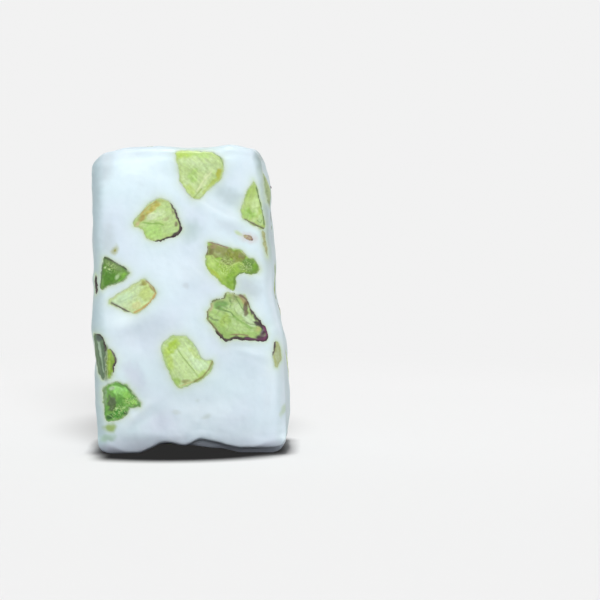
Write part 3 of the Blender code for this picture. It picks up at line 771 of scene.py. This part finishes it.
def line_share(x, z, places, half_width):
    """Return how strongly a line covers each point."""
    spots = np.stack((x, z), 1)
    nearest = np.full(len(x), 1e9)
    places = np.reshape(places, (-1, 2))
    for start, end in zip(places, places[1:]):
        nearest = np.minimum(nearest, line_gap(spots, start, end))
    return np.exp(-(nearest / half_width) ** 2)


CREASES = {"front_large": 0.42, "front_left_dark": 0.22, "front_low_left": 0.24,
           "front_two_tone": 0.16, "front_top": 0.07, "front_low_middle": 0.05}
PLAIN_CREASES = 0.12        # how strong the fine creases are on the other pieces
CREASE_WIDTH = 0.10
VEIL_REACH = 0.24           # a film of nougat thins out over this distance inside the rim
VEIL_STRENGTH = 0.5


def crease_strength(kernel):
    """Return how strong a kernel's fine creases are."""
    return CREASES.get(kernel.name, PLAIN_CREASES)


def kernel_fields(kernel, flat):
    """Return the noise fields of a kernel's broken face and its places on the bar."""
    along, beside = turned(flat[:, 0], flat[:, 1], look_of(kernel.name)[3])
    height = np.full(len(flat), kernel.seed)
    spots = np.stack((along, beside, height), 1)
    return {"fibres": noise_field(np.stack((along / 6.0, beside, height), 1), 0.36),
            "strands": noise_field(np.stack((along / 4.0, beside, height), 1), 0.17, 4.0),
            "clouds": noise_field(spots, 2.2, 2.0), "uneven": noise_field(spots, 0.7, 6.0),
            "grains": noise_field(spots, 0.38, 9.0), "specks": noise_field(spots, 0.16, 13.0),
            "creases": np.exp(-(noise_field(spots, 1.3, 17.0) / CREASE_WIDTH) ** 2),
            "x": kernel.middle[0] + flat[:, 0] * kernel.sideways[0],
            "z": kernel.middle[2] + flat[:, 1] * kernel.upward[2]}


def grit_share(kernel, fields):
    """Return where a kernel's break is crumbly."""
    share = np.zeros(len(fields["x"]))
    for across, up, reach in GRIT.get(kernel.name, ()):
        away = np.hypot(fields["x"] - across, fields["z"] - up)
        share = np.maximum(share, smooth_share((reach - away) / 0.8))
    return share


def kernel_colours(kernel, flat, inside, fields):
    """Return the colour of a kernel's broken face at each point."""
    *basic, _, skins = look_of(kernel.name)
    main, second, rim = (srgb(*colour) for colour in basic)
    fibres, grains, uneven = fields["fibres"], fields["grains"], fields["uneven"]
    x, z = fields["x"], fields["z"]
    colours = layered(main, len(flat), [
        (second, 0.4 + 0.5 * fields["clouds"] + 0.2 * fibres),
        *((srgb(*patch[5]), patch_share(x, z, patch, uneven))
          for patch in PATCHES.get(kernel.name, ()))])
    colours *= (1.0 + 0.08 * fibres + 0.05 * fields["strands"] + 0.05 * grains)[:, None]
    specks = smooth_share((fields["specks"] - 0.05) / 0.5) * 0.55
    layers = [
        (rim * 0.7, crease_strength(kernel) * (0.5 + 0.5 * uneven) * fields["creases"]),
        (GRIT_COLOUR, grit_share(kernel, fields) * specks),
        (rim, 0.55 * (1.0 - smooth_share((inside + 0.12 * grains) / 0.6))),
        (BESIDE_NUT, VEIL_STRENGTH * (1.0 - smooth_share((inside + 0.05 * uneven)
                                                         / VEIL_REACH)))]
    bearing = np.degrees(np.arctan2(flat[:, 1], flat[:, 0]))
    for start, end, thick in skins:
        away = np.abs((bearing - (start + end) / 2 + 180) % 360 - 180)
        reach = smooth_share(((end - start) / 2 - away) / 14.0 + 0.5)
        depth = 1.0 - smooth_share((inside - thick * reach * (1 + 0.3 * uneven)) / 0.3 + 0.5)
        layers.append((srgb(*SKIN) * (1.0 + 0.5 * grains)[:, None],
                       0.95 * depth * (reach > 0.02)))
    for colour, half_width, _, *places in LINES.get(kernel.name, ()):
        wide = half_width * (1.0 + 0.35 * uneven)
        layers.append((srgb(*colour), 0.9 * line_share(x, z, places, wide)))
    for colour, share in layers:
        colours = mix(colours, colour, share)
    return np.clip(colours, 0.0, 1.0)


# Polar grid of a kernel: shares of its radius on the face, then its sides going down.
KERNEL_GAIN = 0.89          # the colours are given as they look under the studio light
FACE_RINGS = 42
RIM_POINTS = 140
RING_POWER = 0.85           # below 1 it gathers the rings towards the rim
TUCK = 0.45                 # the face runs this far under the nougat around it
UNDER_NOUGAT = 0.8          # and dips this deep there
SIDE_RINGS = ((1.0, -0.9), (0.96, -1.5), (0.7, -1.75), (0.35, -1.8))


def kernel_rays(kernel):
    """Return directions and the outline's distance from the middle along each."""
    angles = np.arange(RIM_POINTS) / RIM_POINTS * math.tau
    ways = np.stack((np.cos(angles), np.sin(angles)), 1)
    steps = np.arange(0.0, kernel.reach + TUCK + 0.5, 0.04)
    reaches = []
    for way in ways:
        inside = kernel.inside(way * steps[:, None])
        past = np.flatnonzero(inside < -TUCK)
        reaches.append(steps[past[0]] if len(past) else steps[-1])
    return ways, np.array(reaches)


def kernel_relief(kernel, inside, fields):
    """Return how high a kernel's broken face stands over the nougat's surface."""
    rounding = (1.0 - smooth_share((inside + 0.10) / 0.5)) ** 2
    waves = 0.07 * fields["clouds"] + 0.045 * fields["uneven"]
    relief = 0.045 - 0.07 * rounding + waves * (0.3 + 0.7 * smooth_share(inside / 0.8))
    relief += 0.018 * fields["fibres"] + 0.012 * fields["grains"]
    relief -= 0.16 * crease_strength(kernel) * fields["creases"]
    relief -= UNDER_NOUGAT * smooth_share((-0.08 - inside) / 0.3)
    relief += grit_share(kernel, fields) * (0.07 * fields["grains"] + 0.05 * fields["specks"])
    for patch in PATCHES.get(kernel.name, ()):
        cover = patch_share(fields["x"], fields["z"], patch, fields["uneven"])
        relief += whole(patch)[8] * cover
    for _, half_width, rise, *places in LINES.get(kernel.name, ()):
        relief += rise * line_share(fields["x"], fields["z"], places, half_width)
    return relief


def ring_faces(rings, count):
    """Return faces between the middle, rings of points around it and a last point."""
    faces = [(0, 1 + index, 1 + (index + 1) % count) for index in range(count)]
    for start in range(1, 1 + (rings - 1) * count, count):
        faces += [(start + index, start + count + index, start + count + (index + 1) % count,
                   start + (index + 1) % count) for index in range(count)]
    start = 1 + (rings - 1) * count
    end = start + count
    return faces + [(start + index, end, start + (index + 1) % count) for index in range(count)]


def build_kernel(kernel, tree, material):
    """Build one pistachio piece as a closed mesh set in the block's surface."""
    ways, reaches = kernel_rays(kernel)
    shares = np.linspace(1.0, 0.0, FACE_RINGS + 1)[:-1] ** RING_POWER
    face = (ways[None] * reaches[None, :, None] * shares[::-1][:, None, None]).reshape(-1, 2)
    face = np.vstack(((0.0, 0.0), face))
    inside = kernel.rough_inside(face)
    fields = kernel_fields(kernel, face)
    base = []
    for a, b in face:
        place = kernel.middle + a * kernel.sideways + b * kernel.upward
        hit = tree.ray_cast(Vector(place + kernel.outward * 6.0), Vector(-kernel.outward))[0]
        base.append(tree.find_nearest(Vector(place))[0] if hit is None else hit)
    relief = kernel_relief(kernel, inside, fields)
    layers = [np.array(base) + relief[:, None] * kernel.outward]
    last = layers[0][-RIM_POINTS:]
    for share, height in SIDE_RINGS:
        ring = kernel.middle + (last - kernel.middle) * share
        ring += ((kernel.middle - ring) @ kernel.outward)[:, None] * kernel.outward * (1 - share)
        layers.append(ring + height * kernel.outward)
    points = np.vstack((*layers, layers[-1].mean(axis=0)))
    points[:, 2] = np.maximum(points[:, 2], 0.0)
    mesh = bpy.data.meshes.new(kernel.name)
    faces = ring_faces(FACE_RINGS + len(SIDE_RINGS), RIM_POINTS)
    mesh.from_pydata((points * MM).tolist(), [], faces)
    mesh.validate()
    colours = kernel_colours(kernel, face, inside, fields) * KERNEL_GAIN
    sides = np.tile(colours[-RIM_POINTS:], (len(SIDE_RINGS), 1))
    paint(mesh, "kernel_colour", np.vstack((colours, sides, colours[:1])))
    return add_piece("kernel_" + kernel.name, mesh, material, "pistachio", kernel.node)


# Crumbs of skin and nut caught in the surface of the front: facing, place across and up,
# half length, half width, lean in degrees and colour.
CRUMBS = (
    (0, 9.85, 35.68, 0.66, 0.42, -22, (158, 140, 114)),
    (0, 9.3, 35.95, 0.42, 0.30, -10, (176, 166, 132)),
    (0, 10.3, 35.45, 0.26, 0.22, 30, (128, 102, 88)),
    (0, -12.1, 33.65, 0.26, 0.18, 60, (158, 160, 96)),
)
HIDDEN_CRUMBS = ((180, 9, -13.0, 13.0), (90, 3, 0.0, 6.5), (-90, 3, -6.5, 0.0))
CRUMB_COLOURS = ((160, 118, 96), (150, 172, 92), (110, 140, 60), SKIN)
CRUMB_SEED = 5
CRUMB_HEIGHT = 0.24


def all_crumbs():
    """Return the front's crumbs and seeded ones for the other upright faces."""
    draw = random.Random(CRUMB_SEED)
    crumbs = list(CRUMBS)
    for facing, count, start, end in HIDDEN_CRUMBS:
        for _ in range(count):
            long = draw.uniform(0.25, 0.6)
            crumbs.append((facing, draw.uniform(start, end), draw.uniform(4, 46), long,
                           long * draw.uniform(0.45, 0.8), draw.uniform(0, 180),
                           draw.choice(CRUMB_COLOURS)))
    return crumbs


def build_crumbs(tree, kernels, material):
    """Build all crumbs as one piece of small uneven lumps; the seeded ones keep clear of the
    kernels.
    """
    joined = bmesh.new()
    colours = []
    for index, (facing, across, up, long, short, lean, colour) in enumerate(all_crumbs()):
        outward, sideways, upward = face_axes(facing)
        place = sideways * across + upward * up
        hit, normal, _, _ = tree.ray_cast(Vector(place + outward * 40.0), Vector(-outward))
        spot = np.array(hit)
        if any(np.linalg.norm(spot - kernel.middle) < kernel.reach + long for kernel in kernels
               if facing != 0):
            continue
        first, second = turned(sideways, upward, lean)
        lump = bmesh.ops.create_icosphere(joined, subdivisions=3, radius=1.0)["verts"]
        for vertex in lump:
            way = np.array(vertex.co)
            swell = 1.0 + 0.35 * noise.noise(vertex.co * 1.6 + Vector((index * 3.1, 0, 0)))
            swell += 0.12 * noise.noise(vertex.co * 5.0 + Vector((0, index * 2.3, 0)))
            where = spot + swell * (way[0] * long * first + way[1] * short * second
                                    + way[2] * CRUMB_HEIGHT * np.array(normal))
            vertex.co = Vector((where - 0.08 * np.array(normal)) * MM)
            shade = 1.0 + 0.5 * noise.noise(Vector(way) * 3.0)
            colours.append(srgb(*colour) * shade)
    mesh = bpy.data.meshes.new("pistachio_crumbs")
    joined.to_mesh(mesh)
    joined.free()
    paint(mesh, "kernel_colour", np.clip(np.array(colours), 0.0, 1.0))
    return add_piece("pistachio_crumbs", mesh, material, "pistachio")


# ---------------------------------------------------------------- materials

class Shading:
    """The nodes of a material or of the surround, with a short way to add each kind."""

    def __init__(self, owner):
        owner.use_nodes = True
        self.nodes = owner.node_tree.nodes
        self.links = owner.node_tree.links
        self.places = self.add("TexCoord").outputs

    def fill(self, node, inputs):
        """Give inputs, by name or number, a constant or another node's output."""
        for name, value in inputs.items():
            if isinstance(value, bpy.types.NodeSocket):
                self.links.new(value, node.inputs[name])
            else:
                node.inputs[name].default_value = value
        return node

    def add(self, kind, inputs=None, **settings):
        """Add a node of one kind."""
        node = self.nodes.new("ShaderNode" + kind)
        for name, value in settings.items():
            setattr(node, name, value)
        return self.fill(node, inputs or {})

    def noise(self, scale, detail=3.0, roughness=0.55):
        """Add a noise texture in object coordinates."""
        return self.add("TexNoise", {"Vector": self.places["Object"], "Scale": scale,
                                     "Detail": detail, "Roughness": roughness}).outputs["Fac"]

    def stored(self, layer):
        """Read the colour that is stored on the mesh."""
        return self.add("VertexColor", layer_name=layer).outputs["Color"]

    def ramp(self, source, stops):
        """Add a colour ramp with (position, colour) stops."""
        ramp = self.add("ValToRGB", {"Fac": source})
        elements = ramp.color_ramp.elements
        while len(elements) < len(stops):
            elements.new(0.5)
        for element, (position, colour) in zip(elements, stops):
            element.position = position
            element.color = (*colour, 1.0)
        return ramp.outputs["Color"]

    def mix(self, blend, share, first, second):
        """Mix two colours."""
        return self.add("Mix", {0: share, 6: first, 7: second},
                        data_type="RGBA", blend_type=blend).outputs[2]

    def bump(self, height, distance, strength, **before):
        """Add a bump in metres, on top of another one where Normal is given."""
        return self.add("Bump", {"Height": height, "Distance": distance, "Strength": strength,
                                 **before}).outputs["Normal"]

    def ease(self, value, span, reach=(0.0, 1.0), way="SMOOTHSTEP"):
        """Carry a value from one span over to another."""
        return self.add("MapRange", {"Value": value, "From Min": span[0], "From Max": span[1],
                                     "To Min": reach[0], "To Max": reach[1]},
                        interpolation_type=way).outputs["Result"]

    def calculate(self, operation, *values):
        """Work out a number from one or two others."""
        return self.add("Math", dict(enumerate(values)), operation=operation).outputs["Value"]

    def away(self, middle=(0.0, 0.0, 0.0), reach=(1.0, 1.0, 1.0)):
        """Return the distance from a middle, in shares of a reach along each axis."""
        vector = self.places["Object"]
        for operation, amount in (("SUBTRACT", middle), ("DIVIDE", reach)):
            vector = self.add("VectorMath", {0: vector, 1: amount},
                              operation=operation).outputs["Vector"]
        return self.add("VectorMath", {0: vector}, operation="LENGTH").outputs["Value"]

    def blend(self, share, first, second):
        """Blend two shaders."""
        return self.add("MixShader", {0: share, 1: first, 2: second}).outputs["Shader"]

    def glow(self, strength):
        """Add a plain white glow."""
        return self.add("Emission", {"Strength": strength}).outputs["Emission"]


def nougat_material():
    """Waxy, faintly blue white, its colour and painted shade stored on the mesh, with a broad
    sheen.
    """
    material = bpy.data.materials.new("white_nougat")
    tree = Shading(material)
    shade = tree.ramp(tree.noise(420.0, 4.0),
                      ((0.30, (0.955, 0.965, 0.965)), (0.60, (1.0, 1.0, 1.0))))
    broad = tree.bump(tree.noise(700.0), 0.00006, 0.5)
    tree.fill(tree.nodes["Principled BSDF"], {
        "Base Color": tree.mix("MULTIPLY", 1.0, tree.stored("nougat_colour"), shade),
        "Roughness": tree.ease(tree.noise(420.0, 2.0), (0.0, 1.0), (0.36, 0.58), "LINEAR"),
        "Subsurface Weight": 0.5, "Subsurface Radius": (0.9, 1.0, 1.0),
        "Subsurface Scale": 0.0009, "IOR": 1.45,
        "Normal": tree.bump(tree.noise(3200.0, 2.0), 0.00001, 0.4, Normal=broad)})
    return material


def kernel_material():
    """Moist broken nut, its colour stored on the mesh, with fine grit and small pits."""
    material = bpy.data.materials.new("pistachio_kernel")
    tree = Shading(material)
    shade = tree.ramp(tree.noise(2600.0, 4.0, 0.65),
                      ((0.30, (0.72, 0.76, 0.62)), (0.52, (1.0, 1.0, 1.0)),
                       (0.72, (1.0, 1.0, 0.96))))
    tree.fill(tree.nodes["Principled BSDF"], {
        "Base Color": tree.mix("MULTIPLY", 0.45, tree.stored("kernel_colour"), shade),
        "Roughness": 0.42, "Subsurface Weight": 0.15, "Subsurface Radius": (0.9, 1.0, 0.3),
        "Subsurface Scale": 0.0006,
        "Normal": tree.bump(tree.noise(1500.0, 4.0, 0.6), 0.00008, 0.5)})
    return material


# ---------------------------------------------------------------- stage

FLOOR_ALBEDO = 0.72
CONTACT_SHADOW_ALBEDO = 0.05
CONTACT_REACH = 0.003       # painted contact shadow: metres around the foot in which the floor darkens
CONTACT_DEPTH = 1.2
LENS_MIDDLE = (-0.0035, -0.0045, 0.0)   # painted shadow: deep shade under the bar and just before it
LENS_REACH = (0.0196, 0.0133, 1.0)
LENS_EDGE = (1.25, 0.80)    # it grows between these shares of its reach
LENS_ENDS = ((-0.0168, -0.0128), (0.0188, 0.0150))  # and between these at left and right
SHADOW_POOL_LEVEL = 0.026
ASIDE_MIDDLE = (-0.004, 0.026, 0.0)     # painted shadow: faint shade behind the bar, more to the left
ASIDE_REACH = (0.027, 0.034, 1.0)
ASIDE_EDGE = (1.0, 0.45)
ASIDE_SHADE = 0.26
FLOOR_FADE = (0.080, 0.180)     # metres from the bar's middle
FLOOR_GLOW = 0.887
FLOOR_HALF_WIDTH = 1.8
FLOOR_FRONT = -1.6
BEND_START = 0.25           # the floor curves up from here, to a backdrop
BEND_RADIUS = 0.35
BEND_STEPS = 12
BACKDROP_HEIGHT = 0.45

# Lights: name, direction they come from, spread in degrees and strength.
SUNS = (("key", (0.12, -0.88, 0.42), 22.0, 1.7), ("top", (0.0, 0.05, 1.0), 5.0, 1.8))
WORLD_STRENGTH = 0.48
SIDE_SHARE = 0.45           # how bright the surround is to the left and right
SIDE_SPAN = (0.25, 0.95)


def floor_material():
    """Plain pale floor that takes the bar's shadow, with painted shadows near the bar, and is
    evenly bright further away.
    """
    material = bpy.data.materials.new("pale_floor")
    tree = Shading(material)
    # painted contact shadow: the floor's colour darkens where ambient occlusion finds the bar
    contact_shadow = tree.add("AmbientOcclusion", {"Distance": CONTACT_REACH}, samples=8)
    depth = tree.calculate("POWER", contact_shadow.outputs["AO"], CONTACT_DEPTH)
    dark, pale = ((level, level, level, 1.0) for level in (CONTACT_SHADOW_ALBEDO, FLOOR_ALBEDO))
    shader = tree.fill(tree.nodes["Principled BSDF"], {
        "Base Color": tree.mix("MIX", depth, dark, pale),
        "Roughness": 0.9, "Specular IOR Level": 0.1})
    surface = tree.blend(tree.ease(tree.away(), FLOOR_FADE), shader.outputs["BSDF"],
                         tree.glow(FLOOR_GLOW))
    across = tree.add("SeparateXYZ", {"Vector": tree.places["Object"]}).outputs["X"]
    # painted shadow under the bar and just before it
    lens = tree.ease(tree.away(LENS_MIDDLE, LENS_REACH), LENS_EDGE)
    for ends in LENS_ENDS:
        lens = tree.calculate("MULTIPLY", lens, tree.ease(across, ends))
    # painted shadow, faint, behind the bar and more to the left
    aside = tree.ease(tree.away(ASIDE_MIDDLE, ASIDE_REACH), ASIDE_EDGE, (0.0, ASIDE_SHADE))
    # the painted shadow and the painted shade are a dim glow that takes the floor's place
    shade = tree.glow(SHADOW_POOL_LEVEL)
    for share in (aside, lens):
        surface = tree.blend(share, surface, shade)
    tree.fill(tree.nodes["Material Output"], {"Surface": surface})
    return material


def build_floor():
    """Build the floor, which curves up into a backdrop behind the bar."""
    profile = [(FLOOR_FRONT, 0.0), (BEND_START - 0.05, 0.0), (BEND_START, 0.0)]
    for step in range(1, BEND_STEPS + 1):
        angle = math.pi / 2 * step / BEND_STEPS
        profile.append((BEND_START + BEND_RADIUS * math.sin(angle),
                        BEND_RADIUS - BEND_RADIUS * math.cos(angle)))
    profile.append((BEND_START + BEND_RADIUS, BACKDROP_HEIGHT))
    floor = bmesh.new()
    left, right = ([floor.verts.new((x, y, z)) for y, z in profile]
                   for x in (-FLOOR_HALF_WIDTH, FLOOR_HALF_WIDTH))
    for index in range(len(profile) - 1):
        floor.faces.new((left[index], right[index], right[index + 1], left[index + 1]))
    mesh = bpy.data.meshes.new("floor")
    floor.to_mesh(mesh)
    floor.free()
    mesh.shade_smooth()
    mesh.materials.append(floor_material())
    item = bpy.data.objects.new("floor", mesh)
    bpy.context.scene.collection.objects.link(item)


def add_sun(name, way, spread, strength):
    """Add a soft distant light that comes from a direction."""
    data = bpy.data.lights.new(name, "SUN")
    data.angle = math.radians(spread)
    data.energy = strength
    light = bpy.data.objects.new(name, data)
    light.rotation_euler = (-Vector(way)).to_track_quat("-Z", "Y").to_euler()
    bpy.context.scene.collection.objects.link(light)


def light_the_scene():
    """Soft studio light: a surround that is dimmer to the sides, a key and a top light."""
    world = bpy.data.worlds.new("studio")
    tree = Shading(world)
    across = tree.add("SeparateXYZ", {"Vector": tree.places["Generated"]}).outputs["X"]
    level = tree.ease(tree.calculate("ABSOLUTE", across), SIDE_SPAN,
                      (WORLD_STRENGTH, WORLD_STRENGTH * SIDE_SHARE))
    tree.fill(tree.nodes["Background"], {"Color": (1.0, 1.0, 1.0, 1.0), "Strength": level})
    bpy.context.scene.world = world
    for sun in SUNS:
        add_sun(*sun)


# The camera looks straight at the broad face from a little above the bar's middle height.
VIEW_DISTANCE = 0.30
VIEW_ASIDE = 0.0182
VIEW_RISE = 0.00015         # the view's middle above the bar's middle height
VIEW_HEIGHT_ANGLE = 3.5
VIEW_WIDTH = 0.0982         # what the frame spans at the front face
SENSOR = 36.0


def add_camera():
    """Create the camera."""
    data = bpy.data.cameras.new("camera")
    data.sensor_width = SENSOR
    front = -THICKNESS / 2 * MM
    data.lens = SENSOR * VIEW_DISTANCE / VIEW_WIDTH
    camera = bpy.data.objects.new("camera", data)
    target = Vector((VIEW_ASIDE, front, HEIGHT * MM / 2 + VIEW_RISE))
    angle = math.radians(VIEW_HEIGHT_ANGLE)
    camera.location = target + Vector((0.0, -math.cos(angle), math.sin(angle))) * VIEW_DISTANCE
    camera.rotation_euler = (target - camera.location).to_track_quat("-Z", "Y").to_euler()
    bpy.context.scene.collection.objects.link(camera)
    bpy.context.scene.camera = camera


def surface_tree(points, faces):
    """Return a search tree of a surface, in millimetres."""
    return BVHTree.FromPolygons([tuple(point) for point in points], faces)


def main():
    """Dress the bar and set the stage."""
    bpy.context.scene.view_settings.view_transform = "Standard"
    mesh, plain = box_grid()
    points, normals = shape_block(plain)
    points = fit_to_box(points)
    faces = [tuple(face.vertices) for face in mesh.polygons]
    kernels = read_kernels(surface_tree(points, faces))
    points = soften_edges(add_bevel(add_marks(points, normals)), normals)
    points = add_fine_lumps(points, normals)
    tree = surface_tree(points, faces)
    build_nougat(mesh, points, normals, kernels, nougat_material())
    kernel_look = kernel_material()
    for kernel in kernels:
        build_kernel(kernel, tree, kernel_look)
    build_crumbs(tree, kernels, kernel_look)
    build_floor()
    light_the_scene()
    add_camera()


main()
